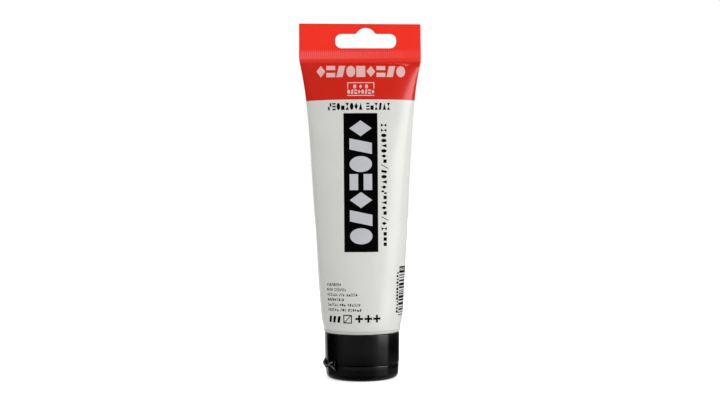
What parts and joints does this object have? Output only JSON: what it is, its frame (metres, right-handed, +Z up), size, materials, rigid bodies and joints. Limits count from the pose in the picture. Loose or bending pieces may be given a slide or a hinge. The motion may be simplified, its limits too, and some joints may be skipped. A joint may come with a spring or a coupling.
{
  "type": "paint tube",
  "caption": "Soft plastic squeeze tube of paint with a flat crimped hang tab, standing on its screw-on flip-top cap with a butterfly hinge.",
  "frame": {"origin": "centre of the lid's flat foot, on the floor the tube stands on", "axes": "+Z up along the tube's axis, X along the flat crimped end, -Y out of the printed face"},
  "size_m": [0.0628, 0.0398, 0.1828],
  "materials": {
    "sleeve_plastic": "semi-gloss off-white polyethylene with a red printed top",
    "natural_plastic": "unpigmented polyethylene",
    "seal_foil": "thin foil laminate",
    "ring_foam": "soft closed-cell foam",
    "paint": "wet white paint",
    "cap_plastic": "glossy black polypropylene"
  },
  "bodies": {
    "cap": {"cap_base": "cap_plastic"},
    "ring": {"sealing_ring": "ring_foam"},
    "tube": {"tube_sleeve": "sleeve_plastic", "shoulder_neck": "natural_plastic", "mouth_seal_foil": "seal_foil", "paint_fill": "paint"},
    "lid": {"lid": "cap_plastic"},
    "hinge": {"hinge_film": "cap_plastic", "hinge_wing_front": "cap_plastic", "hinge_wing_rear": "cap_plastic"}
  },
  "joints": [
    {"name": "cap_turn", "type": "hinge", "parent": "cap", "child": "ring", "pos_m": [0, 0, 0.0086], "axis": [0, 0, 1], "range_deg": [0, 1080]},
    {"name": "tube_lift", "type": "slide", "parent": "ring", "child": "tube", "axis": [0, 0, 1], "range_m": [0, 0.0105]},
    {"name": "lid_open", "type": "hinge", "parent": "cap", "child": "lid", "pos_m": [-0.01746, -0.0089, 0.0079], "axis": [-0.454, 0.891, 0], "range_deg": [0, 175]},
    {"name": "wing_fold", "type": "hinge", "parent": "cap", "child": "hinge", "pos_m": [-0.01746, -0.0089, 0.0079], "axis": [-0.454, 0.891, 0], "range_deg": [0, 87.5]}
  ],
  "couplings": [
    {"joint": "tube_lift", "follows": "cap_turn", "m_per_rad": 0.00055704},
    {"joint": "wing_fold", "follows": "lid_open", "ratio": 0.5}
  ]
}
